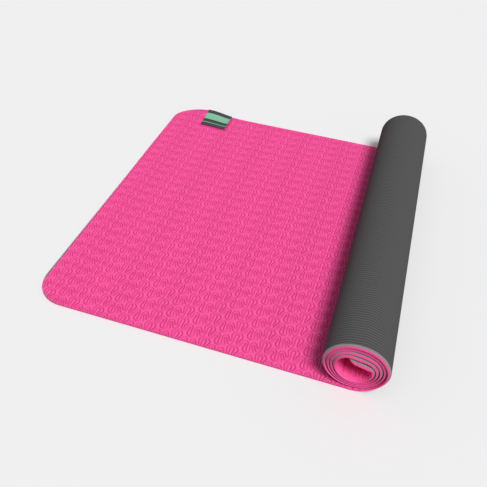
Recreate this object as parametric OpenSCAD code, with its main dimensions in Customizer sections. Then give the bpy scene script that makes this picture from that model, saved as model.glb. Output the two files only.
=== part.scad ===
// Two-layer foam exercise mat, half unrolled.
// The free end lies flat, the rest is wound into a roll with its cushioned side inwards.
// Between them the mat bends in strips that curl up round the roll.
// X runs along the mat's length, Y across its width, Z up from the floor.

/* [Sheet] */
// Width of the mat, across its length
mat_w = 610; // [450:5:800]
// Thickness of the cushioned top layer
top_t = 2.4; // [1.5:0.1:4]
// Thickness of the ribbed base layer
base_t = 2.1; // [1.5:0.1:4]
// Length lying on the floor, from the free end to under the roll's axis
flat_len = 490; // [380:5:800]
// Radius of the corners at the mat's ends
corner_r = 42; // [10:1:60]

/* [Roll] */
// Outer radius of the roll
roll_r = 46.5; // [44:0.5:80]
// Half turns wound before the inner end breaks away, an odd number
half_turns = 9; // [5:2:9]
// Air between one turn and the next
turn_gap = 0.3; // [0.3:0.05:0.6]
// Height angle at which the inner end leaves the last turn
leave_angle = 18; // [0:1:30]
// Outer radius of the tight bend behind the inner end
bend_r = 8; // [8:0.5:12]
// Angle of that bend
bend_angle = 56; // [45:1:70]
// Air between the inner end's tip and the turn above it
tip_gap = 1; // [0.5:0.1:3]

/* [Bending strips] */
// Number of strips that bend between the end piece and the roll
strips = 10; // [8:1:14]
// Slit between one strip and the next, with the bend's axis in its middle
bend_slit = 0.1; // [0.05:0.05:0.3]

/* [Label] */
// Width of the woven label, along the mat's edge
label_w = 54; // [30:1:90]
// Length of each leg of the label, in from the mat's edge
label_leg = 56; // [30:1:90]
// Thickness of the woven label
label_t = 0.9; // [0.5:0.1:1.5]
// Distance of the label from the free end
label_from_end = 68; // [62:1:90]
// Distance from the label to the first bend
label_to_bend = 3; // [1:0.5:20]
// Length of one stitch
stitch_len = 2.6; // [1.5:0.1:4]
// Distance from one stitch to the next
stitch_pitch = 4; // [3:0.1:6]
// Diameter of the sewing thread
thread_d = 0.7; // [0.4:0.1:1]
// Distance of the seam from the label's edge
seam_in = 2.5; // [1.5:0.1:5]

/* [Hidden] */
$fn = 96;
cut = 1;
mat_t = top_t + base_t;
turn_pitch = mat_t + turn_gap;
turn_facets = 24;
bend_facets = 8;
free_x = -(flat_len + roll_r) / 2;
axis_x = free_x + flat_len;
far_y = mat_w / 2;

// The free end and the label stay flat, up to the first bend
end_len = label_from_end + label_w + label_to_bend;

// A strip is one step of the bend; the roll keeps half a step flat in front of its axis
strip_len = (flat_len - end_len) / (strips + 0.5);
hinge_x = free_x + end_len;

// Outer radius and centre height of each half turn, counted inwards from the floor
function turn_r(k) = roll_r - k * turn_pitch / 2;
function turn_z(k) = k % 2 == 0 ? roll_r : roll_r + turn_pitch / 2;
function turn_start(k) = k % 2 == 0 ? -90 : 90;
function spot(x, z, r, angle) = [x + r * cos(angle), z + r * sin(angle)];

// Inner end: last turn, bend and straight tongue, seen from the roll's axis
last = half_turns - 1;
bend_x = (turn_r(last) - bend_r) * cos(leave_angle);
bend_z = turn_z(last) + (turn_r(last) - bend_r) * sin(leave_angle);
tongue_angle = leave_angle + bend_angle;
tongue_way = [-sin(tongue_angle), cos(tongue_angle)];
tongue_x = bend_x + bend_r * cos(tongue_angle);
tongue_z = bend_z + bend_r * sin(tongue_angle);

// The tongue ends where its outer face comes within tip_gap of the turn above
roof_r = turn_r(last - 1) - mat_t - tip_gap;
rise = tongue_z - turn_z(last - 1);
along = -tongue_x * sin(tongue_angle) + rise * cos(tongue_angle);
tongue_len = -along + sqrt(along * along - tongue_x * tongue_x - rise * rise + roof_r * roof_r);
tongue_r = min(corner_r, 0.9 * tongue_len);

label_x = free_x + label_from_end;
leg_y = far_y - label_leg;

function number(i) = str(i < 10 ? "0" : "", i);
function strip_name(layer, i) = str(layer, "_strip_", number(i));

// Colours of the foam, the weave and the thread
top_colour = [0.96, 0.33, 0.60];
base_colour = [0.30, 0.30, 0.31];
label_colour = [0.22, 0.24, 0.24];
thread_colour = [0.33, 0.35, 0.35];

// Outline of a mat end that points along +X, with two round corners
module end_outline(len, r) {
    translate([0, -mat_w / 2]) square([len - r, mat_w]);
    translate([0, r - mat_w / 2]) square([len, mat_w - 2 * r]);
    for (side = [-1, 1]) translate([len - r, side * (mat_w / 2 - r)]) circle(r);
}

// One layer of the flat end piece, lifted by the layers under it
module end_sheet(lift, t) {
    translate([hinge_x - bend_slit / 2, 0, lift]) mirror([1, 0, 0])
        linear_extrude(t) end_outline(end_len - bend_slit / 2, corner_r);
}

// One layer of a strip; strips are counted from the end piece to the roll
module strip_sheet(i, lift, t) {
    translate([hinge_x + (i - 1) * strip_len + bend_slit / 2, -mat_w / 2, lift])
        cube([strip_len - bend_slit, mat_w, t]);
}

// One layer of a half turn about an axis along Y
module half_turn(k, inset, t) {
    translate([axis_x, 0, turn_z(k)]) rotate([90, 0, 0]) rotate([0, 0, turn_start(k)])
        rotate_extrude(angle = 180) translate([turn_r(k) - inset - t, -mat_w / 2]) square([t, mat_w]);
}

// Side outline of the inner end at one depth below the roll's outer face: last turn, bend and tip
function inner_line(depth) = concat(
    [for (i = [0:turn_facets])
        spot(0, turn_z(last), turn_r(last) - depth, -90 + i * (90 + leave_angle) / turn_facets)],
    [for (i = [1:bend_facets])
        spot(bend_x, bend_z, bend_r - depth, leave_angle + i * bend_angle / bend_facets)],
    [spot(bend_x, bend_z, bend_r - depth, tongue_angle) + tongue_len * tongue_way]);

function backwards(points) = [for (i = [len(points) - 1:-1:0]) points[i]];

// What a square corner of the inner end has outside its round one
module tip_corners() {
    square_y = mat_w / 2 - tongue_r;
    translate([axis_x + tongue_x, 0, tongue_z]) rotate([0, -tongue_angle - 90, 0])
        translate([tongue_len - tongue_r, 0, -tip_gap / 2]) linear_extrude(mat_t + tip_gap)
            for (side = [-1, 1]) difference() {
                translate([0, side > 0 ? square_y : -square_y - tongue_r - cut])
                    square([tongue_r + cut, tongue_r + cut]);
                translate([0, side * square_y]) circle(tongue_r);
            }
}

// One layer of the inner end, which springs across the roll's eye
module inner_end(inset, t) {
    difference() {
        translate([axis_x, 0, 0]) rotate([90, 0, 0]) linear_extrude(mat_w, center = true)
            polygon(concat(inner_line(inset), backwards(inner_line(inset + t))));
        tip_corners();
    }
}

// One layer of the wound part, set in from the roll's outer face by the layers outside it
module roll_sheet(inset, t) {
    translate([axis_x, -mat_w / 2, inset]) mirror([1, 0, 0])
        cube([(strip_len - bend_slit) / 2, mat_w, t]);
    for (k = [0:last - 1]) half_turn(k, inset, t);
    inner_end(inset, t);
}

// Space that the folded label takes at the mat's edge, flush with the edge and the floor
module label_seat() {
    translate([label_x, leg_y, -cut]) cube([label_w, label_leg + cut, label_t + cut]);
    translate([label_x, far_y - label_t, -cut]) cube([label_w, label_t + cut, mat_t + 2 * cut]);
}

module top_layer_end() {
    color(top_colour) difference() {
        end_sheet(base_t, top_t);
        label_seat();
    }
}

module base_layer_end() {
    color(base_colour) difference() {
        end_sheet(0, base_t);
        label_seat();
    }
}

// Woven label folded over the mat's far edge
module edge_label() {
    color(label_colour) difference() {
        translate([label_x, leg_y, 0]) cube([label_w, label_leg, mat_t + label_t]);
        translate([label_x - cut, leg_y - cut, label_t])
            cube([label_w + 2 * cut, label_leg + cut - label_t, mat_t - label_t]);
    }
}

// Half-round stitch along X, lying on the label
module stitch() {
    intersection() {
        rotate([0, 90, 0]) cylinder(d = thread_d, h = stitch_len, center = true);
        translate([-stitch_len / 2, -thread_d / 2, 0]) cube([stitch_len, thread_d, thread_d]);
    }
}

// Seam round three sides of the label's upper leg
module label_stitches() {
    across = label_w - 2 * seam_in;
    deep = label_leg - 2 * seam_in;
    n_across = floor((across - stitch_pitch) / stitch_pitch);
    n_deep = floor((deep - stitch_pitch) / stitch_pitch);
    color(thread_colour) translate([label_x + label_w / 2, leg_y + seam_in, mat_t + label_t]) {
        for (i = [0:n_across]) translate([(i - n_across / 2) * stitch_pitch, 0, 0]) stitch();
        for (side = [-1, 1], i = [1:n_deep])
            translate([side * across / 2, i * stitch_pitch, 0]) rotate([0, 0, 90]) stitch();
    }
}

module top_layer_strip(i) { color(top_colour) strip_sheet(i, base_t, top_t); }

module base_layer_strip(i) { color(base_colour) strip_sheet(i, 0, base_t); }

module top_layer_roll() { color(top_colour) roll_sheet(base_t, top_t); }

module base_layer_roll() { color(base_colour) roll_sheet(0, base_t); }

top_layer_end();
base_layer_end();
edge_label();
label_stitches();
for (i = [1:strips]) {
    top_layer_strip(i);
    base_layer_strip(i);
}
top_layer_roll();
base_layer_roll();
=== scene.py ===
import math
import bpy
import numpy as np
from mathutils import Matrix, Vector
from mathutils.kdtree import KDTree


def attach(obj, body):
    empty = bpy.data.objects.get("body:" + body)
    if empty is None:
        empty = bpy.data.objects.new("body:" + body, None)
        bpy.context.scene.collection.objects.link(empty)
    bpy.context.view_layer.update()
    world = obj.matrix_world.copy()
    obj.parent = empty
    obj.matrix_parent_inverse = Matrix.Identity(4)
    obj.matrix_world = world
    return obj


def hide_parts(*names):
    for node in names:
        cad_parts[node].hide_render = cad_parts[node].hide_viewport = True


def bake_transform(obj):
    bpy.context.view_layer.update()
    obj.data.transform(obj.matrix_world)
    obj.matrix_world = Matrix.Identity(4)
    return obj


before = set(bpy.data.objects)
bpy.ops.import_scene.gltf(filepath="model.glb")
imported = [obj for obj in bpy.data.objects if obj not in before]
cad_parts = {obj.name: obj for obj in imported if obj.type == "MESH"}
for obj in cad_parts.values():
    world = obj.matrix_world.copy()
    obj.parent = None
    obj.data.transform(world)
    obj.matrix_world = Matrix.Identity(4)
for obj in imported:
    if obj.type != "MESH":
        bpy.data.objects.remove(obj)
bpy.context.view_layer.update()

# A roll-up exercise mat of two foams. A point of the sheet is given by its length u from the free end,
# its place v across the mat and its depth d from the ribbed side. Sizes are in millimetres and angles in
# degrees, unless a comment says otherwise; place() gives metres in the part's frame.

# Sizes of the CAD part
MM = 0.001
WIDTH, TOP_T, BASE_T = 610.0, 2.4, 2.1
THICK = TOP_T + BASE_T
FLAT, ROLL_R, CORNER = 490.0, 46.5, 42.0
STRIPS, TURN_GAP, HALF_TURNS = 10, 0.3, 9
LEAVE, BEND_R, BEND_A, TIP_GAP = 18.0, 8.0, 56.0, 1.0
LABEL_X, LABEL_W, LABEL_LEG, LABEL_T = 68.0, 54.0, 56.0, 0.9
LABEL_TO_BEND = 3.0
END = LABEL_X + LABEL_W + LABEL_TO_BEND
STEP = (FLAT - END) / (STRIPS + 0.5)
FREE_X = -(FLAT + ROLL_R) / 2
AXIS_X = FREE_X + FLAT
FAR_Y = WIDTH / 2
PITCH = THICK + TURN_GAP
LAST = HALF_TURNS - 1

# Emboss of the cushioned side: two pressed lines that meander through fingers of three heights.
# Size of the cell that repeats, where one cell lies, its grid and the pattern's depth
CELL_X, CELL_Y = 42.0, 24.0
CELL_U, CELL_V = 105.9, -191.0
CELL_GRID = (168, 96)
EMBOSS = 0.7
# Height in the open, as a share of the depth, and half width of a stroke
OPEN, STROKE_W = 0.7, 1.0
# Swollen rim beside a stroke: its height, its distance from the stroke and its half width
RIM, RIM_OFF, RIM_W = 0.3, 2.1, 0.9
# A stroke fades over this share of its length at each end, down to this share of its depth
FADE, FADE_TO = 0.1, 0.25
# Strokes of one cell: how deep each is pressed, and its way
STROKES = [
    # inner line: up and down the tall finger, the middle one and the leaning one
    (0.65, [(0.4, -26.4), (1.4, -24.6), (2.1, -21.8), (2.3, -18.5), (2.2, -14.5), (2.0, -11.0),
            (2.3, -8.6), (3.4, -7.0), (4.8, -6.9)]),
    (1.0, [(4.0, -6.7), (5.6, -7.2), (7.0, -8.5), (7.7, -10.6), (7.5, -13.0), (7.0, -16.0),
           (6.7, -19.0), (7.0, -21.5), (8.0, -23.9), (9.7, -25.5)]),
    (0.4, [(9.4, -25.3), (11.2, -26.2), (13.2, -25.6), (14.8, -23.2), (15.9, -20.4), (17.1, -18.4),
           (18.8, -17.6)]),
    (1.0, [(18.0, -17.6), (19.4, -17.9), (20.1, -19.4), (19.5, -22.0), (18.6, -24.5), (18.2, -27.0),
           (18.4, -29.0), (19.3, -30.8), (21.0, -32.5), (23.0, -33.8), (25.0, -35.0)]),
    (0.75, [(34.0, -31.0), (33.9, -28.5), (33.0, -26.5), (31.7, -24.0), (30.7, -21.5), (30.4, -19.2),
            (31.0, -17.9), (32.0, -17.6)]),
    (0.95, [(31.4, -17.4), (33.0, -18.3), (34.2, -20.4), (35.2, -23.0), (37.2, -26.0), (38.9, -27.6)]),
    (0.4, [(38.7, -27.5), (40.4, -28.2), (41.9, -27.3), (42.6, -26.2)]),
    # outer line, round the same fingers
    (0.75, [(39.6, -21.8), (40.8, -20.8), (41.1, -18.8), (40.7, -16.4), (39.9, -13.6), (39.2, -10.8),
            (39.3, -8.8), (40.3, -7.0), (42.2, -5.6)]),
    (0.4, [(41.6, -6.2), (43.4, -4.6), (46.0, -3.6), (48.6, -3.7), (51.0, -4.9)]),
    (1.0, [(7.6, -4.2), (9.6, -5.2), (11.3, -6.5), (12.8, -8.6), (13.4, -11.0), (12.5, -13.2),
           (11.3, -15.0), (10.4, -17.5), (10.1, -19.8), (10.6, -21.6)]),
    (0.4, [(10.4, -21.2), (11.4, -22.4), (12.6, -22.0), (13.4, -20.0), (14.3, -17.0), (15.7, -14.4),
           (17.6, -13.0), (19.6, -12.9)]),
    (0.95, [(18.6, -12.7), (21.0, -13.7), (22.7, -15.2), (23.4, -17.5), (23.4, -21.0), (23.2, -24.0),
            (23.4, -27.0), (23.9, -29.8), (24.8, -32.2)]),
    (0.4, [(24.6, -31.8), (25.8, -33.0), (27.4, -32.6), (28.6, -30.6)]),
    (0.65, [(28.8, -30.6), (28.6, -28.0), (27.9, -24.6), (27.3, -21.0), (27.3, -17.8), (28.2, -15.0),
            (30.0, -13.2)]),
    (0.4, [(29.6, -13.4), (31.2, -12.5), (33.2, -12.8)]),
    (0.95, [(32.4, -12.4), (34.5, -13.9), (36.0, -16.0), (37.2, -18.5), (38.2, -20.8), (39.5, -21.7)])]


def stroke_points(way, n=12):
    """Points along a stroke, on a smooth curve through its way, with their share of its length."""
    way = np.array([way[0]] + way + [way[-1]])
    t = np.linspace(0, 1, n, endpoint=False)[:, None]
    out = []
    for i in range(1, len(way) - 2):
        a, b, c, d = way[i - 1:i + 3]
        out.append(0.5 * (2 * b + (c - a) * t + (2 * a - 5 * b + 4 * c - d) * t ** 2
                          + (3 * b - a - 3 * c + d) * t ** 3))
    out = np.concatenate(out)
    return out, np.linspace(0, 1, len(out))


def emboss_cell(nx, ny):
    """Height over one cell: 0 at the bottom of a stroke, OPEN in the open and 1 on the rim of a stroke."""
    spots, depth = [], []
    for deep, way in STROKES:
        points, share = stroke_points(way)
        spots.append(points)
        depth.append(deep * np.clip(np.minimum(share, 1 - share) / FADE, FADE_TO, 1))
    spots, depth = np.concatenate(spots), np.concatenate(depth)
    cols, rows = range(-1, 2), range(-1, 4)
    nearest = KDTree(len(cols) * len(rows) * len(spots))
    for col in cols:
        for row in rows:
            for n, (x, y) in enumerate(spots):
                nearest.insert((x + col * CELL_X, y + row * CELL_Y, 0), n)
    nearest.balance()
    h = np.empty((nx, ny))
    for i in range(nx):
        for j in range(ny):
            _, n, d = nearest.find((i * CELL_X / nx, (j / ny - 0.5) * CELL_Y, 0))
            rim = RIM * math.exp(-((d - RIM_OFF) / RIM_W) ** 2)
            h[i, j] = OPEN + depth[n] * (rim - OPEN * math.exp(-(d / STROKE_W) ** 2))
    return h


CELL = emboss_cell(*CELL_GRID)

# The pattern lies a little askew on the sheet: its columns lean across the mat, and its rows swing off
# at the free end and veer towards the roll
SKEW_FROM, SKEW_BY, SKEW_OFF = -220.0, 0.019, 0.5
SWING, SWING_IN, SWING_OFF = 11.0, 85.0, 0.8
VEER_FROM, VEER_TO, VEER_BY, VEER_FAN, VEER_AT = 230.0, 440.0, 0.019, 0.000035, -100.0


def emboss(u, v):
    """Height of the cushioned side's pattern, from 0 to 1."""
    nx, ny = CELL.shape
    on = np.clip(u, VEER_FROM, VEER_TO) - VEER_FROM
    du = SKEW_OFF + SKEW_BY * np.maximum(v - SKEW_FROM, 0)
    dv = SWING * np.exp(-(u / SWING_IN) ** 2) + SWING_OFF - on * (VEER_BY + VEER_FAN * (v - VEER_AT))
    a = ((u - du - CELL_U) / CELL_X) % 1.0 * nx
    b = ((v - dv - CELL_V) / CELL_Y + 0.5) % 1.0 * ny
    i, j = a.astype(int) % nx, b.astype(int) % ny
    f, g = a - np.floor(a), b - np.floor(b)
    k, m = (i + 1) % nx, (j + 1) % ny
    return ((CELL[i, j] * (1 - f) + CELL[k, j] * f) * (1 - g)
            + (CELL[i, m] * (1 - f) + CELL[k, m] * f) * g)


# Ribs of the other side, which run along the mat and sway a little
RIB, RIB_DEPTH = 4.2, 0.24
SWAY, SWAY_LEN = 0.5, 21.0


def ribs(u, v):
    """Height of the ribbed side's pattern, from 0 to 1."""
    w = v + SWAY * np.sin(2 * np.pi * u / SWAY_LEN)
    return 0.5 + 0.5 * np.cos(2 * np.pi * w / RIB)


# The label stiffens the far edge, which stands off the floor there
LIFT, LIFT_AT, LIFT_ALONG, LIFT_IN, LIFT_FALL = 8.4, 73.0, 39.0, 48.0, 1.6


def lift(u, v):
    """How far the sheet stands off the floor."""
    along = np.exp(-((u - LIFT_AT) / LIFT_ALONG) ** 2)
    inward = np.exp(-(np.maximum(FAR_Y - v, 0) / LIFT_IN) ** LIFT_FALL)
    return LIFT * along * inward


def turns():
    """The wound part as arcs: centre, outer radius, first and last angle."""
    out = []
    for k in range(HALF_TURNS):
        z, a = (ROLL_R, -90.0) if k % 2 == 0 else (ROLL_R + PITCH / 2, 90.0)
        out.append((0.0, z, ROLL_R - k * PITCH / 2, a, a + (180.0 if k < LAST else 90.0 + LEAVE)))
    r = ROLL_R - LAST * PITCH / 2 - BEND_R
    c, s = math.cos(math.radians(LEAVE)), math.sin(math.radians(LEAVE))
    out.append((r * c, ROLL_R + r * s, BEND_R, LEAVE, LEAVE + BEND_A))
    return out


ARCS = turns()
ARC_LEN = [(r - THICK / 2) * math.radians(b - a) for _, _, r, a, b in ARCS]
ARC_U = np.concatenate([[FLAT], FLAT + np.cumsum(ARC_LEN)])
ARC_TURN = np.arange(len(ARC_U)) / 2.0

# The tongue springs across the roll's eye, and ends just short of the turn above it
TONGUE_A = math.radians(LEAVE + BEND_A)
TONGUE_X = ARCS[-1][0] + BEND_R * math.cos(TONGUE_A)
RISE = ARCS[-1][1] + BEND_R * math.sin(TONGUE_A) - ROLL_R - PITCH / 2
ALONG = -TONGUE_X * math.sin(TONGUE_A) + RISE * math.cos(TONGUE_A)
ROOF_R = ROLL_R - (LAST - 1) * PITCH / 2 - THICK - TIP_GAP
TONGUE_L = -ALONG + math.sqrt(ALONG ** 2 - TONGUE_X ** 2 - RISE ** 2 + ROOF_R ** 2)
TIP_U, TIP_R = ARC_U[-1] + TONGUE_L, 12.0

# The turns lie loose. How far one sinks for each turn outside it, from which turn on, at which angle most
# and how wide; and by how many degrees the tongue tips over
SAG, SAG_FROM, SAG_AT, SAG_W, TIP_DROP = 2.3, 0.5, 80.0, 38.0, 2.5
LAST_TURN = LAST / 2 + (90.0 + LEAVE) / 360.0
# They have also slid sideways: the second turn sits back and the core stands out
DRIFT_TURN = [0.0, 0.5, 1.0, 1.5, 2.5, 4.0, 5.0]
DRIFT_BY = [0.0, -1.2, 1.0, 0.5, -0.5, -2.5, -4.0]


def loosen(turn, angle):
    """How far a turn has sunk inwards; it hangs at its top and lies on the turn below it."""
    return SAG * np.maximum(turn - SAG_FROM, 0) * np.exp(-((angle - SAG_AT) / SAG_W) ** 2)


def drift(u):
    """How far the wound part has slid sideways."""
    return np.interp(np.interp(u, ARC_U, ARC_TURN), DRIFT_TURN, DRIFT_BY)


def place(u, v, d):
    """Point of the sheet in the part's frame, in metres."""
    u, v, d = np.broadcast_arrays(u, v, d)
    x = FREE_X + u
    z = d + lift(u, v)
    # the last bend and the tongue move with the turn that they leave
    shift = loosen(LAST_TURN, LEAVE)
    sx, sz = shift * math.cos(math.radians(LEAVE)), shift * math.sin(math.radians(LEAVE))
    for n, (cx, cz, r, a0, a1) in enumerate(ARCS):
        on = (u > ARC_U[n]) & (u <= ARC_U[n + 1])
        a = a0 + (u - ARC_U[n]) / ARC_LEN[n] * (a1 - a0)
        if n == len(ARCS) - 1:
            cx, cz, rad = cx - sx, cz - sz, r - d
            a = a + (a - a0) / (a1 - a0) * TIP_DROP
        else:
            rad = r - d - loosen(np.minimum(n / 2 + (a - a0) / 360.0, LAST_TURN), a)
        x = np.where(on, AXIS_X + cx + rad * np.cos(np.radians(a)), x)
        z = np.where(on, cz + rad * np.sin(np.radians(a)), z)
    on = u > ARC_U[-1]
    s = u - ARC_U[-1]
    t = TONGUE_A + math.radians(TIP_DROP)
    tx = AXIS_X + ARCS[-1][0] - sx + (BEND_R - d) * math.cos(t) - s * math.sin(t)
    tz = ARCS[-1][1] - sz + (BEND_R - d) * math.sin(t) + s * math.cos(t)
    x = np.where(on, tx, x)
    z = np.where(on, tz, z)
    return np.stack([x, v + drift(u), z], -1) * MM


# The long edges are cut at a lean: narrower at the bond, and narrower again at the ribbed face
LEAN_BOND, LEAN_FACE = 1.9, 4.2
FACE_INSET = {"top": 0.0, "base": LEAN_FACE}
# Along the flat part the cut is steeper, and has drawn the cushioned foam down over the ribbed one
UPRIGHT, DRAWN, DRAWN_IN = 0.6, 1.7, 4.0
LYING_FROM, LYING_TO = 15.0, 40.0
# The ribbed layer shows beyond the cushioned one at the mat's ends. At the free end it shows most before
# the near corner, less and less towards the far one, and hardly round the near one
LIP = {"top": 3.2, "base": 0.0}
LIP_TRIM, LIP_IN = 0.95, 60.0
LIP_FROM, LIP_TO = -250.0, 150.0
LIP_NEAR, LIP_FADE = -262.0, 20.0
# The near corner is rounder than the far one, and the mat spreads a little towards the roll
NEAR_CORNER, SPREAD = 50.0, 2.6
# Points close to a cut edge, and how far in the even spacing starts
EDGE_STEPS, EDGE_IN = [0.0, 0.25, 0.6], 1.2


def lying(u):
    """1 along the flat part, 0 at the free end and in the wound part."""
    return np.clip(u / LYING_FROM, 0, 1) * np.clip((FLAT + LYING_TO - u) / LYING_TO, 0, 1)


def reach(u, share, side, inset=0.0):
    """Place across the mat of a share, from -1 at the near edge to 1 at the far one."""
    first, last = LIP[side], TIP_U - LIP[side]
    e = np.clip(u - (last - TIP_R), 0, TIP_R)
    tip = TIP_R - np.sqrt(np.maximum(TIP_R ** 2 - e ** 2, 0))
    out = []
    for corner, spread in ((NEAR_CORNER, SPREAD), (CORNER, 0.0)):
        e = np.clip(corner - (u - first), 0, corner)
        round_off = corner - np.sqrt(np.maximum(corner ** 2 - e ** 2, 0))
        out.append(WIDTH / 2 + spread * np.clip(u / FLAT, 0, 1) - round_off - tip)
    return (np.where(share < 0, out[0], out[1]) - inset * (1 - UPRIGHT * lying(u))) * share


def trim(u, v, side):
    """Length along the mat after the cushioned layer's free end is trimmed to its slanting cut."""
    slant = np.clip((v - LIP_FROM) / (LIP_TO - LIP_FROM), 0, 1) + np.clip((LIP_NEAR - v) / LIP_FADE, 0, 1)
    return u - LIP_TRIM * LIP[side] * slant * np.clip(1 - u / LIP_IN, 0, 1)


def bond(u, share):
    """Depth of the bond between the layers."""
    return BASE_T - DRAWN * lying(u) * np.clip(1 - FAR_Y * (1 - np.abs(share)) / DRAWN_IN, 0, 1)


def across(step):
    """Shares of the half width from one edge to the other, closer together at the cut edges."""
    n = int(round(WIDTH / step))
    inner = np.linspace(-1 + EDGE_IN / FAR_Y, 1 - EDGE_IN / FAR_Y, n + 1)
    edge = np.array(EDGE_STEPS) / FAR_Y
    return np.concatenate([-1 + edge, inner, 1 - edge[::-1]])


# The wound edges are pressed together, which flattens the pattern there
PRESSED, PRESS_RUN, PRESS_IN, PRESS_FADE = 0.8, 40.0, 4.0, 6.0
# The seam draws the label down, which leaves a crease along its edges; the crease also gets the darkest
# painted shade of the foam's ramp
CREASE, CREASE_OFF, CREASE_W = 1.2, 1.0, 1.5
# The label's lower leg is pressed into the foam, with this much room round it
LEG_ROOM = 1.0
# The rims of the worked faces are worn round
WORN, WORN_IN = 0.35, 0.6


def skin(u, v, side):
    """Depth of the worked face, and how far it is down in its pattern, which sets its painted shade and
    painted highlight.
    """
    inset, one = FACE_INSET[side], np.ones(np.shape(u))
    rim = np.where(v < 0, v - reach(u, -one, side, inset), reach(u, one, side, inset) - v)
    edge = np.minimum(rim, np.minimum(u, TIP_U - u) - LIP[side])
    worn = WORN * np.clip(1 - edge / WORN_IN, 0, 1) ** 2
    if side == "top":
        pressed = np.clip((u - FLAT) / PRESS_RUN, 0, 1) * np.clip(1 - (rim - PRESS_IN) / PRESS_FADE, 0, 1)
        h = 1 - (1 - emboss(u, v)) * (1 - PRESSED * pressed)
        off = np.hypot(np.maximum(u - LABEL_X - LABEL_W, 0), np.maximum(FAR_Y - LABEL_LEG - v, 0))
        crease = np.exp(-((off - CREASE_OFF) / CREASE_W) ** 2) * (u > LABEL_X) * (off > 0)
        # the crease is coloured fully down in the pattern, as painted shade along the label's edges
        h = np.minimum(h, 1 - crease)
        return THICK - EMBOSS * (1 - h) - CREASE * crease - worn, 1 - h
    h = ribs(u, v)
    d = RIB_DEPTH * (1 - h)
    under = ((u > LABEL_X - LEG_ROOM) & (u < LABEL_X + LABEL_W + LEG_ROOM)
             & (v > FAR_Y - LABEL_LEG - LEG_ROOM))
    return np.where(under, np.maximum(d, LABEL_T - lift(u, v)), d) + worn, 1 - h


# Points across the mat for fine faces and plain ones, and steps along it
FINE = {"top": across(1.31), "base": across(0.9)}
PLAIN = across(24.0)
U_STEP = {"top": 0.955, "base": 3.5}
ROLL_STEP, LEAST_STEP = 2.4, 0.2
CORNER_STEPS, TIP_STEPS = 54, 24
# A flap under the next piece closes the joint when the mat rolls up: where it starts, its length, its inset
# and the inset of its cut edge, and how far it lies under the worked face (the cushioned one's lowest)
FLAP_FROM, FLAP = -0.5, 4.0
FLAP_INSET = {"top": 1.0, "base": LEAN_FACE + 0.3}
FLAP_EDGE = LEAN_BOND + 0.3
FLAP_UNDER = {"top": 0.15, "base": 0.12}
# Least lengths that a normal is divided by
GRID_LEAST, FACE_LEAST = 1e-12, 1e-15


def quads(a, b, c, e):
    return np.stack([a, b, c, e], -1).reshape(-1, 4)


def unit(n, least):
    return n / np.maximum(np.linalg.norm(n, axis=-1, keepdims=True), least)


def slopes(p):
    """Normals of a grid of points."""
    return unit(np.cross(np.gradient(p, axis=0), np.gradient(p, axis=1)), GRID_LEAST)


def point_data(mesh, name, kind, values):
    field = {"FLOAT": "value", "FLOAT_VECTOR": "vector"}[kind]
    mesh.attributes.new(name, kind, "POINT").data.foreach_set(field, values.astype(np.float32).ravel())


def new_object(name, data):
    obj = bpy.data.objects.new(name, data)
    bpy.context.collection.objects.link(obj)
    return obj


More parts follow.
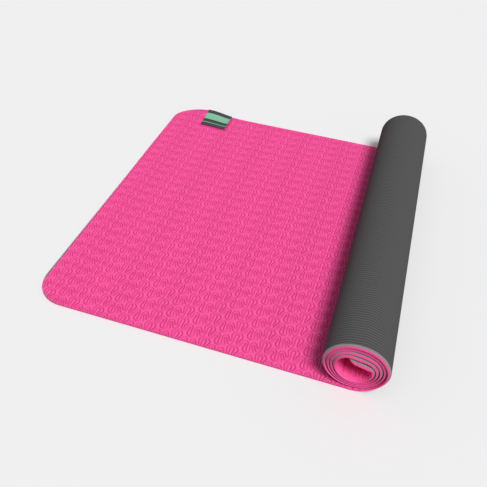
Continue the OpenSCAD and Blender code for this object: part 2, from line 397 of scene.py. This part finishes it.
def slab(name, us, shares, side, flap=False):
    """One piece of one layer: its worked face, its flat back at the bond and its cut edges."""
    way = 1 if side == "top" else -1
    points, sheet, groove_shade, smooth = [], [], [], []

    def add(u, v, d, down, p, normals):
        """Adds a grid of points, and returns their numbers."""
        start = sum(len(x) for x in points)
        points.append(p.reshape(-1, 3))
        sheet.append(np.stack([u, v, d], -1).reshape(-1, 3) * MM)
        groove_shade.append(down.ravel())
        smooth.append(normals.reshape(-1, 3))
        return start + np.arange(u.size).reshape(u.shape)

    def add_plain(u, v, d):
        p = place(u, v, d)
        return add(u, v, d, np.zeros(u.shape), p, np.zeros(p.shape))

    # worked face, worked out with one row more at each end for its slope there
    u = np.concatenate([[us[0] - (us[1] - us[0])], us, [us[-1] + (us[-1] - us[-2])]])
    u = np.clip(u, LIP[side], TIP_U - LIP[side])
    u = np.repeat(u[:, None], len(shares), 1)
    v = reach(u, shares[None, :], side, FACE_INSET[side])
    d, down = skin(u, v, side)
    u = trim(u, v, side)
    p = place(u, v, d)
    grid = add(*(x[1:-1] for x in (u, v, d, down, p, way * slopes(p))))
    # back
    u = np.repeat(us[:, None], len(PLAIN), 1)
    v = reach(u, PLAIN[None, :], side, LEAN_BOND)
    u = trim(u, v, side)
    rear = add_plain(u, v, bond(u, PLAIN[None, :]))
    # faces of both, and the cut edges; slot 0 is the skin and slot 1 is cut foam
    faces = [quads(grid[:-1, :-1], grid[1:, :-1], grid[1:, 1:], grid[:-1, 1:]),
             quads(rear[:-1, :-1], rear[:-1, 1:], rear[1:, 1:], rear[1:, :-1]),
             quads(rear[:-1, 0], rear[1:, 0], grid[1:, 0], grid[:-1, 0]),
             quads(grid[:-1, -1], grid[1:, -1], rear[1:, -1], rear[:-1, -1])]
    slots = [0, 1, 1, 1]
    rings = [np.concatenate([grid[0], rear[0, ::-1]])[::way],
             np.concatenate([grid[-1], rear[-1, ::-1]])[::-way]]
    if flap:
        u = us[-1] + np.array([FLAP_FROM, 0.0, FLAP / 2, FLAP])
        u = np.repeat(u[:, None], len(shares), 1)
        v = reach(u, shares[None, :], side, FLAP_INSET[side])
        d, down = skin(u, v, side)
        d = (np.full(u.shape, THICK - EMBOSS) if side == "top" else d) - way * FLAP_UNDER[side]
        p = place(u, v, d)
        leaf = add(u, v, d, down, p, way * slopes(p))
        u = np.repeat(u[:, :1], 2, 1)
        v = reach(u, np.array([[-1.0, 1.0]]), side, FLAP_EDGE)
        edge = add_plain(u, v, bond(u, np.ones(u.shape)))
        faces += [quads(edge[:-1, 0], edge[1:, 0], leaf[1:, 0], leaf[:-1, 0]),
                  quads(leaf[:-1, -1], leaf[1:, -1], edge[1:, 1], edge[:-1, 1]),
                  quads(leaf[:-1, :-1], leaf[1:, :-1], leaf[1:, 1:], leaf[:-1, 1:])]
        slots += [1, 1, 0]
    slot = np.repeat(slots, [len(f) for f in faces])
    quad = np.concatenate(faces)[:, ::way]
    verts, smooth = np.concatenate(points), np.concatenate(smooth)
    # the skin is shaded smooth, and the cut foam flat
    c = verts[quad]
    normals = np.repeat(unit(np.cross(c[:, 1] - c[:, 0], c[:, 3] - c[:, 0]), FACE_LEAST)[:, None], 4, 1)
    normals[slot == 0] = smooth[quad[slot == 0]]
    normals = [normals.reshape(-1, 3)]
    for ring in rings:
        q = verts[ring]
        n = unit(np.cross(q, np.roll(q, -1, 0)).sum(0), FACE_LEAST)
        normals.append(np.repeat(n[None], len(ring), 0))
    loops = np.concatenate([quad.ravel()] + rings)
    starts = np.concatenate([np.arange(len(quad)) * 4, [quad.size, quad.size + len(rings[0])]])
    mesh = bpy.data.meshes.new(name)
    mesh.vertices.add(len(verts))
    mesh.vertices.foreach_set("co", verts.astype(np.float32).ravel())
    mesh.loops.add(len(loops))
    mesh.loops.foreach_set("vertex_index", loops.astype(np.int32))
    mesh.polygons.add(len(starts))
    mesh.polygons.foreach_set("loop_start", starts.astype(np.int32))
    mesh.polygons.foreach_set("material_index", np.concatenate([slot, [1, 1]]).astype(np.int32))
    mesh.update(calc_edges=True)
    mesh.polygons.foreach_set("use_smooth", np.ones(len(starts), bool))
    point_data(mesh, "sheet", "FLOAT_VECTOR", np.concatenate(sheet))
    # how far down in its pattern each point is; the foam's ramp turns it into painted shade and painted
    # highlight
    point_data(mesh, "groove_shade", "FLOAT", np.concatenate(groove_shade))
    mesh.normals_split_custom_set(np.concatenate(normals).tolist())
    return new_object(name, mesh)


def material(name):
    m = bpy.data.materials.new(name)
    m.use_nodes = True
    t = m.node_tree
    return m, t.nodes, t.links, t.nodes["Principled BSDF"]


def linear(r, g, b):
    """Linear colour of an sRGB one."""
    def f(c):
        c /= 255.0
        return c / 12.92 if c <= 0.04045 else ((c + 0.055) / 1.055) ** 2.4
    return (f(r), f(g), f(b), 1.0)


def grey(c):
    return (c, c, c, 1)


def put(node, values):
    for key, value in values.items():
        node.inputs[key].default_value = value


def attribute(nodes, name, output):
    a = nodes.new("ShaderNodeAttribute")
    a.attribute_name = name
    return a.outputs[output]


def texture(nodes, links, kind, at, values, output):
    t = nodes.new("ShaderNodeTex" + kind)
    put(t, values)
    links.new(at, t.inputs["Vector"])
    return t.outputs[output]


def ramp(nodes, links, fac, stops, kind="LINEAR"):
    r = nodes.new("ShaderNodeValToRGB")
    r.color_ramp.interpolation = kind
    while len(r.color_ramp.elements) < len(stops):
        r.color_ramp.elements.new(0.5)
    for e, (pos, col) in zip(r.color_ramp.elements, stops):
        e.position, e.color = pos, col
    links.new(fac, r.inputs["Fac"])
    return r.outputs["Color"]


def mix(nodes, links, fac, a, b, mode="MIX"):
    m = nodes.new("ShaderNodeMix")
    m.data_type, m.blend_type = "RGBA", mode
    for sock, val in ((m.inputs[0], fac), (m.inputs[6], a), (m.inputs[7], b)):
        if hasattr(val, "is_output"):
            links.new(val, sock)
        else:
            sock.default_value = val
    return m.outputs[2]


def math_node(nodes, links, operation, a, b=None):
    m = nodes.new("ShaderNodeMath")
    m.operation = operation
    for sock, val in zip(m.inputs, (a, b)):
        if hasattr(val, "is_output"):
            links.new(val, sock)
        elif val is not None:
            sock.default_value = val
    return m.outputs[0]


def map_range(nodes, links, fac, values):
    r = nodes.new("ShaderNodeMapRange")
    put(r, values)
    links.new(fac, r.inputs["Value"])
    return r.outputs["Result"]


def bump(nodes, links, height, bsdf, strength, distance):
    b = nodes.new("ShaderNodeBump")
    put(b, {"Strength": strength, "Distance": distance})
    links.new(height, b.inputs["Height"])
    links.new(b.outputs["Normal"], bsdf.inputs["Normal"])


# Faint bands across the mat, painted light and shade of shallow waves in the sheet: from one light one to
# the next and where one lies, in metres, how much they waver, and the tone of the dark ones and the light
# ones
BAND, BAND_AT, BAND_WAVER, PAINTED_BAND_TONE = 0.08, 0.09, 0.6, (0.966, 1.004)
# Grain of the moulded skin and open cells of the cut foam, per metre
GRAIN, CELLS = 1400.0, 1500.0
# Tone of the grain's dark and light specks, and how much smoother and rougher they are
GRAIN_TONE, GRAIN_ROUGH = (0.93, 1.04), (-0.06, 0.08)
# Threads of the label's weave in metres, and its mint stripes as shares of the upper leg
WEAVE, STRIPES = (0.0011, 0.0009), [(0.20, 0.235), (0.42, 0.78)]
# Scale of the twist's lines on the sewing thread
TWIST = 900.0
# Strength of each bump, and its height in metres
GRAIN_BUMP, CELLS_BUMP = (0.25, 0.0003), (0.5, 0.0003)
WEAVE_BUMP, TWIST_BUMP = (0.5, 0.0002), (0.4, 0.0001)


def foam(name, rim, high, painted_shade, rough, gloss):
    """Moulded foam skin: painted shade down in its pattern and a painted highlight on its rims, with a fine
    grain and faint bands of painted light and shade.
    """
    m, n, l, bsdf = material(name)
    at = attribute(n, "sheet", "Vector")
    # The ramp on how far down the pattern is paints a highlight on rims and rib crests (first stop), keeps
    # the foam's own colour in the open (second stop) and paints shade down in strokes, rib troughs and the
    # crease (third stop)
    col = ramp(n, l, attribute(n, "groove_shade", "Fac"), [(0.0, rim), (0.3, high), (0.95, painted_shade)])
    wave = texture(n, l, "Wave", at, {
        "Scale": math.pi / (10 * BAND), "Phase Offset": 2 * math.pi * (0.5 - BAND_AT / BAND),
        "Distortion": BAND_WAVER, "Detail": 1.0}, "Fac")
    # painted light and shade of the sheet's shallow waves, as faint bands
    bands = ramp(n, l, wave, [(0.0, grey(PAINTED_BAND_TONE[0])), (1.0, grey(PAINTED_BAND_TONE[1]))])
    col = mix(n, l, 1.0, col, bands, "MULTIPLY")
    grain = texture(n, l, "Noise", at, {"Scale": GRAIN, "Detail": 3.0}, "Fac")
    speck = ramp(n, l, grain, [(0.35, grey(GRAIN_TONE[0])), (0.65, grey(GRAIN_TONE[1]))])
    l.new(mix(n, l, 1.0, col, speck, "MULTIPLY"), bsdf.inputs["Base Color"])
    uneven = map_range(n, l, grain, {"To Min": rough + GRAIN_ROUGH[0], "To Max": rough + GRAIN_ROUGH[1]})
    l.new(uneven, bsdf.inputs["Roughness"])
    put(bsdf, {"Specular IOR Level": gloss})
    bump(n, l, grain, bsdf, *GRAIN_BUMP)
    return m


def cut_foam(name, light, dark):
    """Cut foam edge: open cells, paler than the skin."""
    m, n, l, bsdf = material(name)
    cells = texture(n, l, "Voronoi", attribute(n, "sheet", "Vector"), {"Scale": CELLS}, "Distance")
    l.new(ramp(n, l, cells, [(0.05, dark), (0.5, light)]), bsdf.inputs["Base Color"])
    put(bsdf, {"Roughness": 0.85, "Specular IOR Level": 0.2})
    bump(n, l, cells, bsdf, *CELLS_BUMP)
    return m


def woven(name):
    """Woven label: dark, with a broad mint band and a thin one across its upper leg."""
    m, n, l, bsdf = material(name)
    sep = n.new("ShaderNodeSeparateXYZ")
    l.new(attribute(n, "sheet", "Vector"), sep.inputs[0])

    def wave(axis):
        k = math_node(n, l, "MULTIPLY", sep.outputs[axis], 2 * math.pi / WEAVE[axis])
        return math_node(n, l, "SINE", k)

    both = math_node(n, l, "MULTIPLY", wave(0), wave(1))
    thread = map_range(n, l, both, {"From Min": -1.0})
    dark = ramp(n, l, thread, [(0.1, linear(46, 49, 48)), (0.9, linear(72, 77, 75))])
    mint = ramp(n, l, thread, [(0.1, linear(108, 172, 140)), (0.9, linear(148, 212, 178))])
    share = math_node(n, l, "DIVIDE", sep.outputs[1], LABEL_LEG * MM)
    stops = [(0.0, grey(0))]
    for a, b in STRIPES:
        stops += [(a, grey(1)), (b, grey(0))]
    band = ramp(n, l, share, stops, "CONSTANT")
    l.new(mix(n, l, band, dark, mint), bsdf.inputs["Base Color"])
    put(bsdf, {"Roughness": 0.8, "Specular IOR Level": 0.25, "Sheen Weight": 0.15})
    bump(n, l, both, bsdf, *WEAVE_BUMP)
    return m


def twisted(name):
    """Sewing thread, with the slanting lines of its twist."""
    m, n, l, bsdf = material(name)
    at = n.new("ShaderNodeTexCoord").outputs["Object"]
    w = n.new("ShaderNodeTexWave")
    w.bands_direction = "DIAGONAL"
    put(w, {"Scale": TWIST})
    l.new(at, w.inputs["Vector"])
    twist = w.outputs["Fac"]
    col = ramp(n, l, twist, [(0.0, linear(58, 62, 61)), (1.0, linear(96, 102, 100))])
    l.new(col, bsdf.inputs["Base Color"])
    put(bsdf, {"Roughness": 0.6})
    bump(n, l, twist, bsdf, *TWIST_BUMP)
    return m


# Skin and cut edge of each layer. On the skin, the first colour is a painted highlight on the rims and rib
# crests, the second the foam's own colour and the third a painted shade down in the pattern
FOAM = {
    "top": (foam("pink_foam", rim=linear(255, 104, 174), high=linear(252, 86, 158),
                 painted_shade=linear(206, 34, 112), rough=0.62, gloss=0.25),
            cut_foam("pink_cut", light=linear(228, 80, 144), dark=linear(184, 42, 106))),
    "base": (foam("charcoal_foam", rim=linear(96, 96, 97), high=linear(92, 92, 93),
                  painted_shade=linear(74, 74, 75), rough=0.66, gloss=0.0),
             cut_foam("charcoal_cut", light=linear(140, 140, 140), dark=linear(88, 88, 88)))}


def finish_foam(obj, side, node):
    for m in FOAM[side]:
        obj.data.materials.append(m)
    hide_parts(node)


def steps(a, b, size):
    return np.linspace(a, b, max(2, int(round((b - a) / size)) + 1))


def strip(i):
    return "strip_%02d" % i


BODIES = ["mat_end"] + [strip(i) for i in range(1, STRIPS + 1)] + ["roll"]

for side in ("top", "base"):
    layer = side + "_layer_"
    # free end, up to half a strip before the first bend
    us = LIP[side] + NEAR_CORNER * (1 - np.cos(np.linspace(0, math.pi / 2, CORNER_STEPS)))
    us = np.concatenate([us, steps(us[-1], END - STEP / 2, U_STEP[side])[1:]])
    end = slab(layer + "end_sheet", us, FINE[side], side)
    finish_foam(end, side, layer + "end")
    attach(end, "mat_end")
    # one piece per bend, from the middle of one strip to the middle of the next
    for j in range(1, STRIPS + 2):
        pivot = END + (j - 1) * STEP
        a, b = pivot - STEP / 2, pivot + STEP / 2
        piece = slab(layer + "bend_%02d" % j, steps(a, b, U_STEP[side]), FINE[side], side, flap=j <= STRIPS)
        finish_foam(piece, side, layer + BODIES[j])
        if j == 1:
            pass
        elif j > STRIPS:
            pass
        else:
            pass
        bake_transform(piece)
    # wound part: the outer turn, the hidden turns and the inner end
    marks = [FLAT, ARC_U[2], ARC_U[LAST], TIP_U - LIP[side]]
    for n, part in enumerate(("outer", "turns", "inner")):
        fine = (side == "base" and part == "outer") or part == "inner"
        us = steps(marks[n], marks[n + 1], U_STEP["top"] if side == "top" and part == "inner" else ROLL_STEP)
        if part == "inner":
            tip = marks[-1] - TIP_R + TIP_R * np.sin(np.linspace(0, math.pi / 2, TIP_STEPS))
            us = np.concatenate([us[us < tip[0] - LEAST_STEP], tip])
        roll = slab(layer + "roll_" + part, us, FINE[side] if fine else PLAIN, side)
        finish_foam(roll, side, layer + "roll")
        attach(roll, "roll")

# Woven label, folded over the far edge: how far in its seam runs, and how far its edges curl up outside that
SEAM, CURL = 2.5, 1.5
# Its fold: where it starts inside the mat's edge, how far it bulges, half its length, and how far
# the label's middle lies off the foam
FOLD_IN, FOLD_OUT, FOLD, LABEL_OFF = 1.6, 2.2, 3.4, 0.42
LEG = LABEL_LEG - FOLD_IN
LABEL_LEN = 2 * LEG + 2 * FOLD
# Ripples of the weave, points along a leg and the fold, and thickness in metres
RIPPLE, RIPPLE_Q, RIPPLE_P = 0.02, 2.1, 0.3
LEG_STEPS, FOLD_STEPS = 55, 25
WOVEN_T = 0.0008


def label_point(p, q):
    """Point of the label's middle surface in metres, p across it and q along it from the upper leg's end."""
    phi = np.clip((q - LEG) / (2 * FOLD), 0, 1) * math.pi
    c, s = np.cos(phi), np.sin(phi)
    y = np.where(q < LEG, FAR_Y - LABEL_LEG + q, FAR_Y - FOLD_IN + FOLD_OUT * np.sqrt(np.abs(s)))
    y = np.where(q > LEG + 2 * FOLD, FAR_Y - FOLD_IN - (q - LEG - 2 * FOLD), y)
    z = THICK / 2 + (THICK / 2 + LABEL_OFF) * np.sign(c) * np.sqrt(np.abs(c))
    z = z + CURL * np.clip(1 - np.minimum(q, LABEL_W - p) / SEAM, 0, 1) ** 2 * (q < LEG)
    u = LABEL_X + p
    # the lower leg rests on the floor where the mat lies low
    z = np.maximum(z + lift(u, np.minimum(y, FAR_Y)), LABEL_T / 2)
    return np.stack([FREE_X + u, y, z], -1) * MM


q = np.concatenate([np.linspace(0, LEG, LEG_STEPS)[:-1], LEG + np.linspace(0, 2 * FOLD, FOLD_STEPS),
                    np.linspace(LEG + 2 * FOLD, LABEL_LEN, LEG_STEPS)[1:]])
P, Q = np.meshgrid(np.linspace(0, LABEL_W, LEG_STEPS), q, indexing="ij")
points = label_point(P, Q)
points[..., 2] += RIPPLE * np.sin(Q * RIPPLE_Q + P * RIPPLE_P) * MM
idx = np.arange(P.size).reshape(P.shape)
quad = quads(idx[:-1, :-1], idx[1:, :-1], idx[1:, 1:], idx[:-1, 1:])
mesh = bpy.data.meshes.new("woven_label")
mesh.from_pydata(points.reshape(-1, 3).tolist(), [], quad.tolist())
mesh.polygons.foreach_set("use_smooth", np.ones(len(quad), bool))
point_data(mesh, "sheet", "FLOAT_VECTOR", np.stack([P, Q, P * 0], -1) * MM)
label = new_object("woven_label", mesh)
solid = label.modifiers.new("thickness", "SOLIDIFY")
solid.thickness, solid.offset = WOVEN_T, 0.0
label.data.materials.append(woven("woven_label"))
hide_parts("edge_label")
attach(label, "mat_end")

# Stitches round three sides of the label's upper leg: from one to the next, length and thread's radius
STITCH_PITCH, STITCH, THREAD = 4.0, 2.6, 0.34
# A stitch is thinner at its ends and dips there; its middle stands off the label's middle surface
STITCH_TAPER, STITCH_DIP, STITCH_UP = 0.35, 0.35, 0.45
STITCH_RINGS, STITCH_SIDES = 7, 8
verts, faces = [], []


def add_stitch(p, q, turned):
    """Adds a stitch with its middle at p, q on the label; turned, it runs along q."""
    first, sides = len(verts), STITCH_SIDES
    for i in range(STITCH_RINGS):
        t = i / (STITCH_RINGS - 1) * 2 - 1
        rad = THREAD * (1 - STITCH_TAPER * t * t)
        along = t * STITCH / 2
        for k in range(sides):
            a = 2 * math.pi * k / sides
            aside, up = rad * math.cos(a), rad * math.sin(a) - STITCH_DIP * t * t + STITCH_UP
            dp, dq = (aside, along) if turned else (along, aside)
            x, y, z = label_point(np.array(p + dp), np.array(q + dq))
            verts.append((x, y, z + up * MM))
    for i in range(STITCH_RINGS - 1):
        for k in range(sides):
            a, b = first + i * sides + k, first + i * sides + (k + 1) % sides
            faces.append((a, b, b + sides, a + sides))
    faces.append(tuple(first + k for k in range(sides))[::-1])
    faces.append(tuple(first + (STITCH_RINGS - 1) * sides + k for k in range(sides)))


n_across = int((LABEL_W - 2 * SEAM - STITCH_PITCH) // STITCH_PITCH)
n_deep = int((LABEL_LEG - 2 * SEAM - STITCH_PITCH) // STITCH_PITCH)
for i in range(n_across + 1):
    add_stitch(LABEL_W / 2 + (i - n_across / 2) * STITCH_PITCH, SEAM, False)
for edge in (SEAM, LABEL_W - SEAM):
    for i in range(1, n_deep + 1):
        add_stitch(edge, SEAM + i * STITCH_PITCH, True)
mesh = bpy.data.meshes.new("label_thread")
mesh.from_pydata(verts, [], faces)
mesh.polygons.foreach_set("use_smooth", np.ones(len(faces), bool))
thread = new_object("label_thread", mesh)
thread.data.materials.append(twisted("sewing_thread"))
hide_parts("label_stitches")
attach(thread, "mat_end")

# Floor, a hair under the mat, in metres
FLOOR_SIZE, FLOOR_Z, PALE = 14.0, -0.0002, 0.87
bpy.ops.mesh.primitive_plane_add(size=FLOOR_SIZE, location=(0, 0, FLOOR_Z))
floor = bpy.context.object
floor.name = "floor"
m, _, _, bsdf = material("pale_floor")
put(bsdf, {"Base Color": grey(PALE), "Roughness": 0.9, "Specular IOR Level": 0.1})
floor.data.materials.append(m)

# Soft light from all round; the backdrop itself is seen as pale as the floor
AMBIENT = 0.3
world = bpy.data.worlds.new("studio")
bpy.context.scene.world = world
world.use_nodes = True
n, l = world.node_tree.nodes, world.node_tree.links
sky = n["Background"]
put(sky, {"Color": grey(1.0)})
seen = n.new("ShaderNodeLightPath").outputs["Is Camera Ray"]
l.new(map_range(n, l, seen, {"To Min": AMBIENT, "To Max": PALE}), sky.inputs["Strength"])

# A broad soft lamp, high at the right and in front
KEY_POWER, KEY_SPREAD, KEY_WAY = 2.58, 21.0, (-2.6, 3.2, -6.9)
key = new_object("key", bpy.data.lights.new("key", "SUN"))
key.data.energy, key.data.angle = KEY_POWER, math.radians(KEY_SPREAD)
key.rotation_euler = Vector(KEY_WAY).to_track_quat("-Z", "Y").to_euler()

# Camera, fitted to the photo: direction, place in metres, and focal length and picture width in pixels
AZ, EL, ROLL = math.radians(15.07), math.radians(42.24), math.radians(3.56)
CAMERA_AT = (0.1908, -0.783, 0.664)
FOCUS, PICTURE_W, SENSOR_W, CLIP = 579.4, 487.0, 36.0, 0.01
back = Vector((math.sin(AZ) * math.cos(EL), -math.cos(AZ) * math.cos(EL), math.sin(EL)))
level = Vector((math.cos(AZ), math.sin(AZ), 0))
upright = back.cross(level)
right = level * math.cos(ROLL) + upright * math.sin(ROLL)
up = upright * math.cos(ROLL) - level * math.sin(ROLL)
camera = new_object("camera", bpy.data.cameras.new("camera"))
camera.matrix_world = Matrix([(right[i], up[i], back[i], CAMERA_AT[i]) for i in range(3)] + [(0, 0, 0, 1)])
camera.data.sensor_width = SENSOR_W
camera.data.lens = FOCUS / PICTURE_W * SENSOR_W
camera.data.clip_start = CLIP
bpy.context.scene.camera = camera
bpy.context.scene.view_settings.view_transform = "Standard"

bpy.context.view_layer.update()
